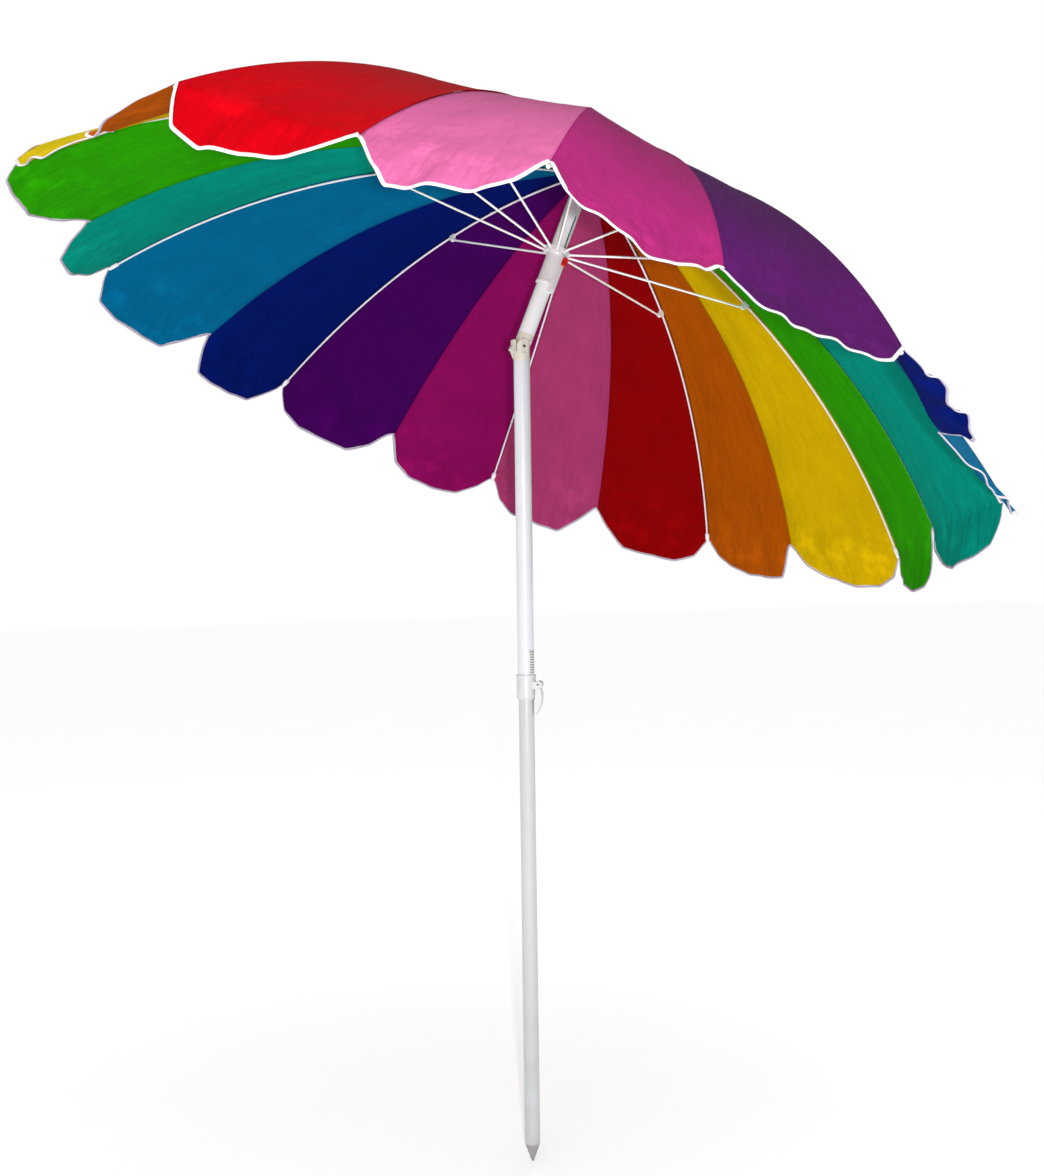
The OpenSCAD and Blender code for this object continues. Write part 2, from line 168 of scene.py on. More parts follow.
def sweep(name, path, normals, profile, material, under=()):
    """Sweeps a closed profile of (inwards, along the normal) pairs along a path

    The profile's sides in under take the second material."""
    path, normals = np.asarray(path), np.asarray(normals)
    step = np.gradient(path, axis=0)
    step /= np.linalg.norm(step, axis=1)[:, None]
    side = np.cross(normals, step)
    side /= np.linalg.norm(side, axis=1)[:, None]
    prof = np.asarray(profile)
    verts = path[:, None] + prof[None, :, :1] * side[:, None] + prof[None, :, 1:] * normals[:, None]
    rows, cols = verts.shape[:2]
    faces = grid_faces(rows, cols, close=True)
    second = [i * cols + j for i in range(rows - 1) for j in under]
    faces += [tuple(range(cols))[::-1], tuple((rows - 1) * cols + j for j in range(cols))]
    return mesh_object(name, verts.reshape(-1, 3), faces, material, second=second)


def smooth_noise(rng, u, v, nu, nv):
    """Smooth noise from -1 to 1 for u and v from 0 to 1, with nu by nv cells"""
    values = rng.uniform(-1, 1, (nu + 2, nv + 2))
    x, y = np.clip(u, 0, 1) * nu, np.clip(v, 0, 1) * nv
    i, j = np.minimum(x.astype(int), nu), np.minimum(y.astype(int), nv)
    fx, fy = x - i, y - j
    fx, fy = fx * fx * (3 - 2 * fx), fy * fy * (3 - 2 * fy)
    low = values[i, j] * (1 - fx) + values[i + 1, j] * fx
    high = values[i, j + 1] * (1 - fx) + values[i + 1, j + 1] * fx
    return low * (1 - fy) + high * fy


# ---------- materials ----------
class Nodes:
    """Short form for building one node material"""

    def __init__(self, name, **values):
        self.mat = bpy.data.materials.new(name)
        self.mat.use_nodes = True
        self.tree = self.mat.node_tree
        self.shader = self.tree.nodes["Principled BSDF"]
        for key, value in values.items():
            self.shader.inputs[key.replace("_", " ")].default_value = value

    def add(self, kind, props=None, **inputs):
        node = self.tree.nodes.new("ShaderNode" + kind)
        for key, value in (props or {}).items():
            setattr(node, key, value)
        for key, value in inputs.items():
            self.put(node, int(key[1:]) if key[1:].isdigit() else key.replace("_", " "), value)
        return node

    def put(self, node, socket, value):
        if isinstance(value, bpy.types.Node):
            value = value.outputs[0]
        if isinstance(value, bpy.types.NodeSocket):
            self.tree.links.new(value, node.inputs[socket])
        else:
            node.inputs[socket].default_value = value

    def math(self, kind, a, b=0.0):
        return self.add("Math", {"operation": kind}, i0=a, i1=b)

    def noise(self, coords, scale, detail=3.0, roughness=0.5):
        return self.add("TexNoise", Vector=coords, Scale=scale, Detail=detail, Roughness=roughness)

    def ramp(self, value, low, high, first=(0, 0, 0, 1), last=(1, 1, 1, 1)):
        node = self.add("ValToRGB", Fac=value)
        node.color_ramp.elements[0].position, node.color_ramp.elements[1].position = low, high
        node.color_ramp.elements[0].color, node.color_ramp.elements[1].color = first, last
        return node

    def mix(self, fac, a, b, kind="MIX"):
        node = self.add("Mix", {"data_type": "RGBA", "blend_type": kind})
        for socket, value in ((0, fac), (6, a), (7, b)):
            self.put(node, socket, value)
        return node.outputs[2]

    def bump(self, height, distance, strength=1.0, below=None):
        node = self.add("Bump", Height=height, Distance=distance, Strength=strength)
        if below is not None:
            self.tree.links.new(below.outputs[0], node.inputs["Normal"])
        return node

    def done(self, colour=None, roughness=None, normal=None):
        for socket, value in (("Base Color", colour), ("Roughness", roughness), ("Normal", normal)):
            if value is not None:
                self.put(self.shader, socket, value)
        return self.mat


def rgba(c, k=1.0):
    """A colour with its brightness times k"""
    return (min(1, c[0] * k), min(1, c[1] * k), min(1, c[2] * k), 1)


SEAM_W = 0.007             # width of a folded seam
STITCH_IN = 0.0050         # from the seam to its run of stitches
STITCH_HALF = 0.00042      # half a thread's width
STITCHES = 290.0           # stitches in a metre
STITCH_SHARE = 0.68        # a stitch's share of its pitch


def fabric(name, colour, weave=1500.0, crown_shade=0.0):
    """Woven cloth: a plain weave along the panel's length, slubs, uneven dye, creases with painted shade
    along their folds, painted highlights on the crumpled petals, and painted shade towards the crown

    U is the distance to the nearest seam and V the distance along the rib, in metres."""
    n = Nodes(name, Sheen_Weight=0.012, Sheen_Roughness=0.5, Sheen_Tint=rgba(colour, 1.4),
              Specular_IOR_Level=0.02)
    place = n.add("TexCoord")
    flat, solid = place.outputs["UV"], place.outputs["Object"]
    parts = n.add("SeparateXYZ", Vector=flat)
    warp = n.math("SINE", n.math("MULTIPLY", parts.outputs[0], weave * math.pi))
    weft = n.math("SINE", n.math("MULTIPLY", parts.outputs[1], weave * math.pi))
    cloth = n.math("MULTIPLY", warp, weft)
    slub = n.noise(n.add("Mapping", Vector=flat, Scale=(900, 60, 1)), 1.0, 2.0)
    dye = n.noise(solid, 9.0, 4.0, 0.6)
    fine = n.noise(solid, 210.0, 3.0, 0.65)
    crease = n.noise(n.add("Mapping", Vector=flat, Scale=(16, 5, 1)), 1.0, 5.0, 0.55)
    folds = n.noise(n.add("Mapping", Vector=flat, Scale=(24, 4.5, 1)), 1.0, 2.5, 0.5)
    middle = n.math("ABSOLUTE", n.math("SUBTRACT", folds, 0.5))
    fold_relief_and_shade = n.math("SUBTRACT", 1.0, n.math("MULTIPLY", middle, 9.0))
    toward_rim = n.add("MapRange", Value=parts.outputs[1], From_Min=0.70, From_Max=1.15,
                       To_Min=0.12, To_Max=1.0)
    fold_relief_and_shade = n.math("MULTIPLY", n.math("MAXIMUM", fold_relief_and_shade, 0.0), toward_rim.outputs[0])
    tone = n.mix(n.ramp(dye, 0.32, 0.72), rgba(colour, 0.90), rgba(colour, 1.06))
    # painted shade: the cloth darkens along its fold lines, more towards the rim
    tone = n.mix(n.math("MULTIPLY", fold_relief_and_shade, 0.10), tone, rgba(colour, 0.62))
    tone = n.mix(n.math("MULTIPLY", n.ramp(fine, 0.35, 0.75), 0.28), tone, rgba(colour, 0.6))
    tone = n.mix(n.math("MULTIPLY", n.ramp(slub, 0.45, 0.8), 0.18), tone, rgba(colour, 1.35))
    # painted highlights where crumpled places on the loose petals catch the light
    petal = n.add("MapRange", Value=parts.outputs[1], From_Min=1.0, From_Max=1.15, To_Min=0.0, To_Max=0.55)
    petal_highlight = n.ramp(n.noise(solid, 17.0, 3.5, 0.6), 0.50, 0.66)
    tone = n.mix(n.math("MULTIPLY", petal_highlight, petal), tone, rgba(colour, 1.45))
    # the doubled seam allowance, and its run of stitches
    band = n.math("LESS_THAN", parts.outputs[0], SEAM_W)
    tone = n.mix(n.math("MULTIPLY", band, 0.22), tone, rgba(colour, 0.72))
    off = n.math("ABSOLUTE", n.math("SUBTRACT", parts.outputs[0], STITCH_IN))
    pitch = n.math("FRACT", n.math("MULTIPLY", parts.outputs[1], STITCHES))
    dash = n.math("LESS_THAN", pitch, STITCH_SHARE)
    stitch = n.math("MULTIPLY", n.math("LESS_THAN", off, STITCH_HALF), dash)
    tone = n.mix(n.math("MULTIPLY", stitch, 0.55), tone, rgba(colour, 1.5))
    # painted shade: the face turns darker and duller towards the crown, in grainy patches
    if crown_shade:
        high = n.add("MapRange", Value=parts.outputs[1], From_Min=0.60, From_Max=1.00, To_Min=1.0, To_Max=0.0)
        grain = n.math("ADD", n.math("MULTIPLY", n.ramp(fine, 0.3, 0.7), 0.5), 0.5)
        grey = sum(colour) / 3
        dull = tuple(0.327 * c + 0.045 * grey + 0.001 for c in colour)
        painted_shade = n.math("MULTIPLY", n.math("MULTIPLY", high.outputs[0], grain), crown_shade)
        tone = n.mix(painted_shade, tone, rgba(dull))
    relief = n.math("ADD", n.ramp(crease, 0.3, 0.75), n.math("MULTIPLY", fold_relief_and_shade, 0.20))
    relief = n.math("ADD", relief, n.math("MULTIPLY", stitch, 0.06))
    low = n.bump(relief, 0.0068, 0.85)
    mid = n.bump(slub, 0.0004, 0.5, low)
    rough = n.mix(n.ramp(fine, 0.3, 0.7), rgba((0.76,) * 3), rgba((0.92,) * 3))
    return n.done(tone, rough, n.bump(cloth, 0.00016, 0.6, mid))


def paint(name, colour, rough=0.26, coat=0.4, bottom_shade=0.0, scratch=0.12):
    """Glossy paint on a tube: orange peel, fine scuffs, and where asked painted shade that darkens it towards
    the bottom
    """
    n = Nodes(name, Coat_Weight=coat, Coat_Roughness=0.12)
    solid = n.add("TexCoord").outputs["Object"]
    peel = n.noise(solid, 420.0, 2.0)
    cloud = n.noise(solid, 14.0, 4.0, 0.6)
    scuff = n.noise(n.add("Mapping", Vector=solid, Scale=(260, 260, 12)), 1.0, 4.0, 0.7)
    marks = n.ramp(scuff, 0.62, 0.74)
    tone = n.mix(n.ramp(cloud, 0.3, 0.75), rgba(colour, 0.955), rgba(colour))
    tone = n.mix(n.math("MULTIPLY", marks, scratch), tone, rgba(colour, 0.66))
    if bottom_shade:
        # painted shade: darker and a little warmer towards the bottom
        height = n.add("SeparateXYZ", Vector=solid).outputs[2]
        low = n.add("MapRange", Value=height, From_Min=-0.02, From_Max=0.55, To_Min=1.0, To_Max=0.0)
        painted_shade = n.math("MULTIPLY", n.math("MULTIPLY", low.outputs[0], n.ramp(cloud, 0.3, 0.7)), bottom_shade)
        tone = n.mix(painted_shade, tone, rgba((colour[0] * 0.74, colour[1] * 0.72, colour[2] * 0.69)))
    rough_map = n.mix(marks, rgba((rough,) * 3), rgba((rough + 0.25,) * 3))
    return n.done(tone, rough_map, n.bump(peel, 0.00012, 0.35))


def moulded(name, colour, rough=0.42, grain=0.5, tint=0.9):
    """Moulded plastic: fine spark grain, soft mottling, slightly worn edges"""
    n = Nodes(name, Specular_IOR_Level=0.45)
    solid = n.add("TexCoord").outputs["Object"]
    spark = n.noise(solid, 1600.0, 2.0)
    cloud = n.noise(solid, 38.0, 4.0, 0.6)
    edge = n.ramp(n.add("NewGeometry").outputs["Pointiness"], 0.505, 0.56)
    tone = n.mix(n.ramp(cloud, 0.3, 0.75), rgba(colour, tint), rgba(colour))
    tone = n.mix(n.math("MULTIPLY", edge, 0.25), tone, rgba(colour, 1.18))
    rough_map = n.mix(n.ramp(cloud, 0.3, 0.7), rgba((rough - 0.06,) * 3), rgba((rough + 0.1,) * 3))
    return n.done(tone, rough_map, n.bump(spark, 0.00008, grain))


def steel(name, colour, rough=0.3):
    """Drawn steel: fine lines along the wire and a few dull spots"""
    n = Nodes(name, Metallic=1.0)
    solid = n.add("TexCoord").outputs["Object"]
    lines = n.noise(n.add("Mapping", Vector=solid, Scale=(1400, 1400, 160)), 1.0, 3.0)
    spots = n.noise(solid, 90.0, 4.0, 0.6)
    tone = n.mix(n.ramp(spots, 0.4, 0.72), rgba(colour), rgba(colour, 0.72))
    rough_map = n.mix(n.ramp(spots, 0.35, 0.7), rgba((rough,) * 3), rgba((rough + 0.25,) * 3))
    return n.done(tone, rough_map, n.bump(lines, 0.00005, 0.5))


# each cloth's underside takes the darker copy of its colour, painted shade under the canopy
CLOTH = {name: (fabric("cloth_" + name, face, crown_shade=0.9), fabric("shade_painted_under_" + name, under))
         for name, (face, under) in COLOURS.items()}
NAMES = list(COLOURS)
TAPE = fabric("binding_tape", (0.80, 0.76, 0.80), weave=1100.0)
# the tape's inner face: a darker lilac copy of the tape, painted shade with a painted reflection of the cloth
TAPE_SHADED_IN = fabric("binding_inner_shaded", (0.42, 0.37, 0.46), weave=1100.0)
THREAD = fabric("thread", (0.86, 0.85, 0.85), weave=2600.0)

# ---------- camera, light and floor ----------
CAMERA_AT = Vector((-1.394, -2.821, 1.236))
YAW, PITCH, ROLL = -0.457, -0.016, -0.014
SENSOR_MM, FOCAL_MM = 36, 45.35
# each lamp's place, what it is aimed at, its width in metres and its watts
LAMPS = {
    "front": ((-1.523, -3.30, 1.13), (0, 0, 1.65), 0.06, 92),
    "key": ((-3.0, -3.4, 4.8), (0.1, 0, 1.7), 2.4, 22),
    "rim": ((3.2, 2.6, 4.2), (0.2, 0, 1.7), 2.6, 16)}
FLOOR_REACH = 30


def build_camera():
    """The camera, where the photo was taken from"""
    ahead = Vector((-math.sin(YAW) * math.cos(PITCH), math.cos(YAW) * math.cos(PITCH), math.sin(PITCH)))
    right = Vector((math.cos(YAW), math.sin(YAW), 0))
    up = right.cross(ahead)
    side = right * math.cos(ROLL) + up * math.sin(ROLL)
    over = up * math.cos(ROLL) - right * math.sin(ROLL)
    lens = bpy.data.cameras.new("camera")
    lens.sensor_width = SENSOR_MM
    lens.lens = FOCAL_MM
    camera = bpy.data.objects.new("camera", lens)
    bpy.context.scene.collection.objects.link(camera)
    camera.matrix_world = Matrix((
        (side.x, over.x, -ahead.x, CAMERA_AT.x), (side.y, over.y, -ahead.y, CAMERA_AT.y),
        (side.z, over.z, -ahead.z, CAMERA_AT.z), (0, 0, 0, 1)))
    bpy.context.scene.camera = camera


def area_light(name, at, aim, size, power):
    data = bpy.data.lights.new(name, "AREA")
    data.shape, data.size, data.energy = "DISK", size, power
    lamp = bpy.data.objects.new(name, data)
    bpy.context.scene.collection.objects.link(lamp)
    lamp.location = at
    lamp.rotation_euler = (Vector(aim) - Vector(at)).to_track_quat("-Z", "Y").to_euler()


def build_world():
    """An even white surround"""
    world = bpy.data.worlds.new("studio")
    bpy.context.scene.world = world
    world.use_nodes = True
    background = world.node_tree.nodes["Background"]
    background.inputs[0].default_value = (1.0, 1.0, 1.0, 1)
    background.inputs[1].default_value = 1.0
    bpy.context.scene.view_settings.view_transform = "Standard"


def build_floor():
    """A pale floor under the spike's tip"""
    n = Nodes("floor", Roughness=0.9, Specular_IOR_Level=0.1)
    cloud = n.noise(n.add("TexCoord").outputs["Object"], 3.0, 3.0)
    material = n.done(n.mix(cloud.outputs[0], rgba((0.965,) * 3), rgba((0.98,) * 3)))
    corners = [(x * FLOOR_REACH, y * FLOOR_REACH, GROUND) for x, y in ((-1, -1), (1, -1), (1, 1), (-1, 1))]
    mesh_object("floor", corners, [(0, 1, 2, 3)], material, smooth=False)


build_camera()
for lamp_name, lamp_values in LAMPS.items():
    area_light(lamp_name, *lamp_values)
build_world()
build_floor()

# ---------- canopy ----------
LIFT = 0.0062          # from a rib's centre line to the cloth
CLOTH_T = 0.0006       # thickness of the cloth
FOLD_T = 0.0007        # how much thicker it is at a folded seam
START = 0.012          # where a panel begins, below the cap
NARROWEST = 0.004      # least width of half a bay that is used there
ROWS, PETAL_ROWS, COLS = 58, 14, 43
ROW_SPREAD = 0.9       # below 1: rows a little closer together near the rim
SLACK_SEED, PETAL_SEED, TIE_SEED = 60, 400, 700
LAP = 0.006            # how far an odd panel runs on under its even neighbour, between the ribs
LAP_H = 0.0016         # how far each stands off there, so that they slide over each other
LAP_BAND = 0.025       # width over which they part
LAP_FULL = 0.06        # half a bay's width from which they part by all of it
SAG_IN, SAG_DOWN = 0.028, 0.009         # how the rim between two ribs is drawn in, and hangs
SLOW, FINE, STREAK = 0.0050, 0.0012, 0.0015     # heights of the slack waves, small creases and pulls
SINK = 0.003           # how the cloth sinks between its seams

# how each petal hangs: degrees its fall is steeper than the rib's end, ruffle in mm, waves across it,
# and its drop in mm at the inner shares DROP_AT of the width, from the rib to the middle of the bay;
# one row for each panel from the first, after the outline in the photo
DROP_AT = (0, 0.04, 0.12, 0.28, 0.5, 0.72, 0.88, 0.96, 1)
PETALS = (
    (25, 4, 2.2, (33, 82, 98, 89, 68, 31, 9)),
    (12, 5, 3.1, (16, 56, 81, 88, 99, 43, 13)),
    (-8, 5, 2.4, (30, 65, 70, 88, 81, 49, 9)),
    (-10, 5, 2.8, (18, 55, 75, 72, 87, 73, 25)),
    (-34, 10, 3.4, (16, 50, 72, 80, 108, 66, 21)),
    (-18, 9, 3.0, (22, 62, 83, 88, 82, 52, 17)),
    (28, 5, 1.7, (44, 84, 101, 112, 90, 56, 17)),
    (22, 5, 2.2, (18, 50, 83, 110, 122, 120, 86)),
    (-8, 6, 2.6, (20, 62, 94, 97, 85, 52, 16)),
    (-2, 4, 1.8, (17, 46, 73, 93, 92, 88, 31)),
    (2, 3, 2.1, (19, 60, 87, 90, 90, 45, 14)),
    (6, 4, 2.7, (14, 55, 86, 91, 94, 45, 15)),
    (12, 4, 2.2, (10, 42, 82, 96, 94, 68, 21)),
    (13, 4, 1.9, (27, 65, 89, 95, 93, 52, 11)),
    (17, 4, 2.4, (22, 46, 90, 99, 102, 97, 42)),
    (17, 5, 2.1, (39, 83, 96, 95, 92, 41, 14)),
    (3, 6, 1.6, (18, 52, 70, 96, 95, 40, 11)),
    (8, 6, 2.0, (55, 90, 97, 95, 64, 23, 6)),
    (1, 5, 1.3, (24, 66, 89, 90, 89, 52, 15)),
    (-6, 5, 1.2, (21, 60, 90, 93, 91, 55, 17)))
MM = 0.001
PETAL_LEN = 0.09       # a usual petal's drop
DROP_END = 1           # its drop in mm at both ends
CURL = 0.15            # radians a petal bends over its drop
CRUMPLE = 0.0034       # height of its crumples
FULL_CRUMPLE = 0.03    # drop from which they are that high
WAVE_SHARE = 0.8       # share of ruffle and crumples that shows
SHARES = np.linspace(0, 1, 401)     # shares of the width at which a drop is worked out
ROUNDED = np.hanning(15)            # weights that round a petal's corners
SHARP_END = 0.02                    # share of the width that isn't rounded, at both ends


def drop_line(j):
    """Petal j's drop at the SHARES of the width, in metres, its corners a little rounded"""
    line = np.interp(SHARES, DROP_AT, (DROP_END,) + PETALS[j][3] + (DROP_END,)) * MM
    wide = np.pad(line, len(ROUNDED) // 2, mode="edge")
    soft = np.convolve(wide, ROUNDED / ROUNDED.sum(), "valid")
    near = np.clip(np.minimum(SHARES, 1 - SHARES) / SHARP_END, 0, 1)
    return soft * near + line * (1 - near)


DROPS = [drop_line(j) for j in range(PANELS)]


def turn_of(j):
    """1 for a panel that lies on its rib's side towards the next rib, -1 for one towards the rib before"""
    return 1 if j % 2 == 0 else -1


def bay_half(l):
    """Width of half a bay at the distance l along the rib"""
    return np.maximum(rib_at(l)[0] * math.sin(HALF), NARROWEST)


def cloth_point(j, l, t, lift):
    """A panel's point in its rib's frame: l along the rib, t from the rib's seam (0) to the next (1)"""
    s = turn_of(j)
    l, t = np.broadcast_arrays(np.asarray(l, float), np.asarray(t, float))
    out, upw = rib_at(l, lift)
    share = (l / RIB_LEN) ** 2
    r = out * math.cos(HALF)
    chord = np.stack([r * math.cos(HALF), s * r * math.sin(HALF), upw], -1)
    inwards = SAG_IN * share
    sag = np.stack([-inwards * math.cos(HALF), -s * inwards * math.sin(HALF), -SAG_DOWN * share], -1)
    rib = np.stack([out, np.zeros_like(out), upw], -1)
    point = rib + t[..., None] * (chord - rib) + (2 * t - t * t)[..., None] * sag
    # slack: slow waves over the panel, creases that run out to the rim, and a pull along the seams
    rng = np.random.default_rng(SLACK_SEED + j)
    v = l / RIB_LEN
    slow = smooth_noise(rng, t, v, 2, 5) * SLOW
    fine = smooth_noise(rng, t, v, 8, 12) * FINE
    streak = smooth_noise(rng, t, v, 13, 3) * STREAK
    window = np.clip(4 * t * (1 - t), 0, 1) ** 0.75
    puff = window * v * (slow + (fine + streak * v) * v - SINK)
    a, az = rib_angle(l), s * HALF * t
    normal = np.stack([np.sin(a) * np.cos(az), np.sin(a) * np.sin(az), np.cos(a)], -1)
    # at the seam between two ribs one panel lies over the other
    width = bay_half(l)
    band = np.minimum(LAP_BAND, 0.5 * width)
    x = np.clip(2 * (band - (1 - t) * width) / band, 0, 1)
    part = s * LAP_H * np.minimum(1, width / LAP_FULL) * x * x * (3 - 2 * x)
    return point + (puff + part)[..., None] * normal, normal


def petal_point(j, t, b, lift):
    """A petal's point: t across the panel, b from 0 at the rim to 1 at its lower edge"""
    s = turn_of(j)
    fall, ruffle, waves, _ = PETALS[j]
    t, b = np.broadcast_arrays(np.asarray(t, float), np.asarray(b, float))
    reach = np.interp(t, SHARES, DROPS[j]) * b
    base, _ = cloth_point(j, RIB_LEN, t, lift)
    az = s * HALF * t
    first = rib_angle(RIB_LEN) + math.radians(fall)
    angle = first + CURL * reach / PETAL_LEN
    mean = first + CURL * reach / (2 * PETAL_LEN)
    outward = np.stack([np.cos(az), np.sin(az), np.zeros_like(az)], -1)
    upward = np.array([0.0, 0.0, 1.0])
    normal = outward * np.sin(angle)[..., None] + upward * np.cos(angle)[..., None]
    rng = np.random.default_rng(PETAL_SEED + j)
    phase, kink = rng.uniform(0, 2 * math.pi), rng.uniform(0.2, 0.6)
    flute = np.sin(2 * math.pi * waves * t + phase) + kink * np.sin(4.7 * math.pi * waves * t + 2 * phase)
    flute = ruffle * MM * flute * (reach / PETAL_LEN) ** 1.3
    crumple = smooth_noise(rng, t, b, 8, 2) * CRUMPLE * np.minimum(1, reach / FULL_CRUMPLE)
    wave = (flute + crumple) * WAVE_SHARE
    point = (base + outward * (reach * np.cos(mean))[..., None] - upward * (reach * np.sin(mean))[..., None]
             + normal * wave[..., None])
    return point, normal


NARROW = 0.16                        # a seam's and a lap's greatest share of half a bay
EDGE_AT = (0.0, 0.5, 1.0, 1.3)       # where columns lie at a seam, in seam widths
MIDDLE_AT = 1.8                      # where the even columns start
LAP_AT = (0.0, 0.33, 0.67, 1.0)      # how much of the lap each edge column takes


def panel_columns(j, width):
    """Shares across panel j, with the folded seams at their real width"""
    w = np.minimum(SEAM_W, NARROW * width)[:, None] / width[:, None]
    inner = np.linspace(0, 1, COLS - 2 * len(EDGE_AT))[None, :]
    middle = w * MIDDLE_AT + inner * (1 - 2 * MIDDLE_AT * w)
    edge = [w * share for share in EDGE_AT]
    lap = (j % 2) * np.minimum(LAP, NARROW * width)[:, None] / width[:, None]
    far = [1 - e + lap * share for e, share in zip(edge[::-1], LAP_AT)]
    return np.concatenate(edge + [middle] + far, 1)


def rib_of(j):
    """The rib that panel j hangs on, from 1"""
    return ((j + 1) // 2) % RIBS + 1


def build_panel(j):
    """One panel with its petal: two faces of cloth, thicker where the seam is folded; and its area"""
    k = rib_of(j)
    l = START + (RIB_LEN - START) * np.linspace(0, 1, ROWS) ** ROW_SPREAD
    width = bay_half(l)
    t = panel_columns(j, width)
    body, n1 = cloth_point(j, l[:, None], t, LIFT)
    b = np.linspace(0, 1, PETAL_ROWS)[1:, None]
    petal, n2 = petal_point(j, t[-1][None, :], b, LIFT)
    centre, normal = np.concatenate([body, petal]), np.concatenate([n1, n2])
    # the folded allowance of the seam on the rib lies under the cloth
    fold = np.zeros(centre.shape[:2])
    fold[:ROWS, :len(EDGE_AT) - 1] = FOLD_T
    top = centre + normal * (CLOTH_T / 2)
    under = centre - normal * (CLOTH_T / 2 + fold[..., None])
    reach = np.interp(t[-1], SHARES, DROPS[j])
    along = np.concatenate([np.repeat(l[:, None], t.shape[1], 1), RIB_LEN + reach[None, :] * b])
    share = np.concatenate([t, np.repeat(t[-1:], PETAL_ROWS - 1, 0)])
    wide = np.concatenate([width, np.repeat(width[-1], PETAL_ROWS - 1)])[:, None]
    uv = np.stack([np.minimum(share, 1 - share) * wide, along], -1)
    if j % 2:
        top, under, uv = top[:, ::-1], under[:, ::-1], uv[:, ::-1]
    obj = sheet_mesh(f"panel_{j + 1}", from_rib(k, top), from_rib(k, under), CLOTH[NAMES[j % len(NAMES)]], uv)
    rows = from_rib(k, centre)
    du, dv = rows[1:, :-1] - rows[:-1, :-1], rows[:-1, 1:] - rows[:-1, :-1]
    area = float(np.linalg.norm(np.cross(du, dv), axis=-1).sum())
    return obj, area


def petal_edge(j, count=150):
    """The petal's bound edge from one notch to the other: points, normals in the rib's frame"""
    t = panel_columns(j, bay_half(np.array([RIB_LEN])))[0]
    points, normals = petal_point(j, t, np.ones_like(t), LIFT)
    first, n0 = petal_point(j, t[:1], np.zeros(1), LIFT)
    last, n1 = petal_point(j, t[-1:], np.zeros(1), LIFT)
    points, normals = np.concatenate([first, points, last]), np.concatenate([n0, normals, n1])
    run = np.concatenate([[0], np.cumsum(np.linalg.norm(np.diff(points, axis=0), axis=1))])
    at = np.linspace(0, run[-1], count)
    points = np.stack([np.interp(at, run, points[:, i]) for i in range(3)], -1)
    normals = np.stack([np.interp(at, run, normals[:, i]) for i in range(3)], -1)
    return points, normals / np.linalg.norm(normals, axis=1)[:, None]


def soften(points, passes=2):
    """Rounds a path's corners a little, its ends kept"""
    for _ in range(passes):
        points[1:-1] = (points[:-2] + 2 * points[1:-1] + points[2:]) / 4
    return points


# binding: a folded tape, wide on the outside and narrow on the inside, as inwards and outwards of the edge
TAPE_PROFILE = [(0.0058, 0.0002), (0.0057, 0.0010), (0.0030, 0.0014), (0.0002, 0.0012), (-0.0009, 0.0),
                (0.0002, -0.0012), (0.0024, -0.0014), (0.0046, -0.0011), (0.0047, -0.0002)]
TAPE_SHADED_SIDES = (4, 5, 6, 7)      # the profile's sides that make the narrow inner face, which takes the darker tape of painted shade


def build_binding(j):
    """The tape around petal j's edge"""
    k = rib_of(j)
    points, normals = petal_edge(j)
    if turn_of(j) < 0:
        points, normals = points[::-1], normals[::-1]
    points, normals = soften(from_rib(k, points)), from_rib(k, normals) - from_rib(k, np.zeros(3))
    return sweep(f"binding_{j + 1}", points, normals, TAPE_PROFILE, (TAPE, TAPE_SHADED_IN), TAPE_SHADED_SIDES)


def hang(pieces, k):
    """Lets cloth pieces ride on rib k, each with a mesh of its own"""
    for piece in pieces:
        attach(piece, f"rib_arm_{k}")
        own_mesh(piece)


for j in range(PANELS):
    panel, area = build_panel(j)
    binding = build_binding(j)
    hang((panel, binding), rib_of(j))
    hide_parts(f"canopy_gore_{rib_of(j)}")

# ---------- ties and pockets ----------
TIE_AT = (0.30, 0.62, 0.93)       # where along a rib its ties are
TIE_SHIFT = 0.01                  # how far a tie may be off its place
TIE_R, TIE_UNEVEN = 0.0026, 0.0002
TIE_UP = 0.0008                   # a tie's middle, above the rib's
TIE_STEP = 0.0011                 # between a tie's two turns
THREAD_R = 0.00045
TIE_POINTS, THREAD_POINTS = 14, 6

POCKET_BACK, POCKET_OVER = 0.020, 0.0045      # a pocket's ends, before and past the rib's end
POCKET_HALF_W = (0.0052, 0.0058, 0.0060, 0.0058, 0.0054, 0.0046, 0.0012)
POCKET_HALF_H = (0.0031, 0.0033, 0.0034, 0.0035, 0.0034, 0.0028, 0.0010)
POCKET_COLS = 16
PUCKER = 0.06


def circle(count):
    """Evenly spaced angles around a circle"""
    return np.linspace(0, 2 * math.pi, count + 1)[:-1]


def build_ties(k):
    """Rib k's thread ties, each of two turns around the rib and the cloth"""
    rng = np.random.default_rng(TIE_SEED + k)
    verts, faces = [], []
    for place in TIE_AT:
        middle = place + rng.uniform(-TIE_SHIFT, TIE_SHIFT)
        for turn in range(2):
            out, upw = rib_at(middle + TIE_STEP * turn)
            base = len(verts)
            for i in circle(TIE_POINTS):
                for q in circle(THREAD_POINTS):
                    r = TIE_R + TIE_UNEVEN * math.cos(3 * i) + THREAD_R * math.cos(q)
                    verts.append((out + THREAD_R * math.sin(q), r * math.sin(i),
                                  upw + TIE_UP + r * math.cos(i)))
            for u in range(TIE_POINTS):
                here, there = base + u * THREAD_POINTS, base + (u + 1) % TIE_POINTS * THREAD_POINTS
                for q in range(THREAD_POINTS):
                    q2 = (q + 1) % THREAD_POINTS
                    faces.append((here + q, there + q, there + q2, here + q2))
    return mesh_object(f"ties_{k}", from_rib(k, np.array(verts)), faces, THREAD)


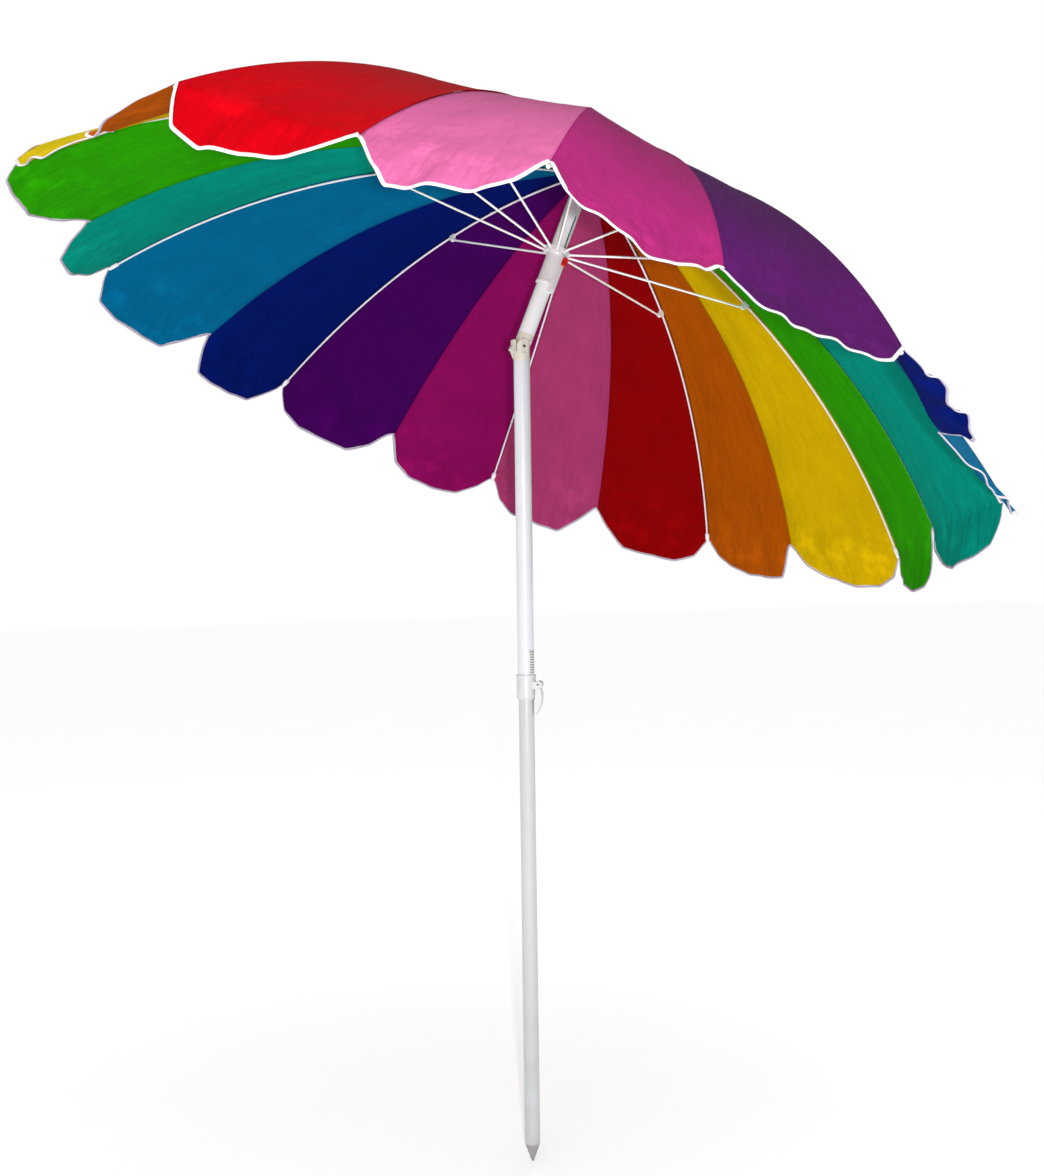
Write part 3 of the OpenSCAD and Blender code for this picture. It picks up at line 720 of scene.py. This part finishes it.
def build_pocket(k):
    """The pocket over rib k's end: a short flat tube of tape, puckered and closed at its outer end"""
    rows = len(POCKET_HALF_W)
    around = circle(POCKET_COLS)
    shell = []
    for i, l in enumerate(np.linspace(RIB_LEN - POCKET_BACK, RIB_LEN + POCKET_OVER, rows)):
        out, upw = rib_at(l)
        slope = rib_angle(l)
        pucker = 1 + PUCKER * np.sin(5 * around + k + 0.9 * i)
        w, h = POCKET_HALF_W[i] * np.cos(around) * pucker, POCKET_HALF_H[i] * np.sin(around) * pucker
        shell.append(np.stack([out + h * math.sin(slope), w, upw + h * math.cos(slope)], -1))
    last = (rows - 1) * POCKET_COLS
    ends = [tuple(range(POCKET_COLS))[::-1], tuple(range(last, last + POCKET_COLS))]
    return mesh_object(f"tip_pocket_{k}", from_rib(k, np.concatenate(shell)),
                       grid_faces(rows, POCKET_COLS, close=True) + ends, TAPE)


for k in range(1, RIBS + 1):
    for piece in (build_ties(k), build_pocket(k)):
        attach(piece, f"rib_arm_{k}")

# ---------- sticker ----------
LABEL_AT, LABEL_LOW, LABEL_HIGH, LABEL_W = math.radians(296), 1.006, 1.054, 0.020
LABEL_GAP, LABEL_TOP = 0.00004, 0.00028      # its two faces, off the tube
LABEL_ROWS, LABEL_COLS = 13, 9
LABEL_BARS, BAR_SHARE, BAR_HALF = 9.0, 0.45, 0.38


def sticker_material():
    """Off-white paper with soft grey bars and no marks"""
    n = Nodes("sticker", Specular_IOR_Level=0.4, Roughness=0.35)
    place = n.add("TexCoord")
    parts = n.add("SeparateXYZ", Vector=place.outputs["UV"])
    off = n.math("ABSOLUTE", n.math("SUBTRACT", parts.outputs[0], 0.5))
    pitch = n.math("FRACT", n.math("MULTIPLY", parts.outputs[1], LABEL_BARS))
    bar = n.math("MULTIPLY", n.math("LESS_THAN", pitch, BAR_SHARE), n.math("LESS_THAN", off, BAR_HALF))
    wear = n.noise(place.outputs["Object"], 300.0, 3.0)
    paper = n.mix(wear.outputs[0], rgba((0.50, 0.49, 0.46)), rgba((0.60, 0.59, 0.56)))
    return n.done(n.mix(n.math("MULTIPLY", bar, 0.85), paper, rgba((0.10, 0.10, 0.11))))


def build_sticker():
    """A plain sticker around the front of the upper pole"""
    angles = LABEL_AT + np.linspace(-0.5, 0.5, LABEL_COLS) * LABEL_W / TUBE_R
    levels = np.repeat(np.linspace(LABEL_LOW, LABEL_HIGH, LABEL_ROWS)[:, None], LABEL_COLS, 1)[..., None]
    circle_part = np.stack([np.cos(angles), np.sin(angles)], -1)
    grid = np.repeat(circle_part[None], LABEL_ROWS, 0)
    outer, inner = (np.concatenate([grid * (TUBE_R + off), levels], -1) for off in (LABEL_TOP, LABEL_GAP))
    uv = np.stack(np.meshgrid(np.linspace(0, 1, LABEL_COLS), np.linspace(0, 1, LABEL_ROWS)), -1)
    return sheet_mesh("sticker", outer, inner, sticker_material(), uv)


sticker = build_sticker()
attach(sticker, "upper")

# ---------- finishes of the CAD nodes ----------
FINISH = {
    "tube": paint("tube_paint", (0.74, 0.75, 0.765)),
    "white_plastic": moulded("white_plastic", (0.84, 0.85, 0.86), rough=0.34),
    "inner_plastic": moulded("inner_plastic", (0.62, 0.62, 0.63), rough=0.5),
    "bare_steel": steel("bare_steel", (0.62, 0.63, 0.65)),
    "dark_steel": steel("dark_steel", (0.10, 0.10, 0.11), 0.4),
    "cream_plastic": moulded("cream_plastic", (0.55, 0.52, 0.45), rough=0.4),
    "red_plastic": moulded("red_plastic", (0.55, 0.006, 0.012), rough=0.28, tint=0.8),
    "spike": moulded("spike_plastic", (0.27, 0.25, 0.27), rough=0.5, tint=0.8),
    "wire": paint("wire_paint", (0.86, 0.86, 0.87), rough=0.3, coat=0.3),
    "fitting": paint("fitting_paint", (0.82, 0.82, 0.84), rough=0.34, coat=0.2),
    "cloth": CLOTH["red"][0],
}
# each node takes its slot's finish, except the ones below, which look different: the clamp pin is dark steel,
# and the poles, collar, lever, runner and ribs take darker copies of the white finishes, painted shade for
# how the light falls on each; the runner and ribs are also tinted lilac, a painted reflection of the cloth
slots = {row["node"]: row["material_slot"] for row in frame["record"]["subparts"]}
SHADED_AND_OWN_FINISHES = {
    # the poles' paints are darker copies of the tube paint, painted shade, the lower one darkest
    "upper_pole": paint("upper_tube_shaded_paint", (0.56, 0.57, 0.60), bottom_shade=0.15, scratch=0.2),
    "lower_pole": paint("lower_tube_shaded_paint", (0.435, 0.445, 0.46), bottom_shade=1.0, scratch=0.3),
    "height_collar": moulded("collar_shaded_plastic", (0.52, 0.52, 0.53), rough=0.36),
    "clamp_lever": moulded("lever_shaded_plastic", (0.54, 0.54, 0.55), rough=0.36),
    "clamp_pin": FINISH["dark_steel"],
    "runner": moulded("runner_shaded_plastic", (0.62, 0.60, 0.62), rough=0.36),
}
# the ribs' paint is a darker lilac copy of the wire paint: painted shade under the canopy with a painted
# reflection of the cloth
RIB_SHADED_PAINT = paint("rib_shaded_paint", (0.70, 0.67, 0.72), rough=0.3, coat=0.3)
SHADED_AND_OWN_FINISHES.update({f"rib_{k}": RIB_SHADED_PAINT for k in range(1, RIBS + 1)})
for name, obj in frame["nodes"].items():
    finish = SHADED_AND_OWN_FINISHES.get(name, FINISH[slots[name]])
    obj.data.materials.clear()
    obj.data.materials.append(finish)
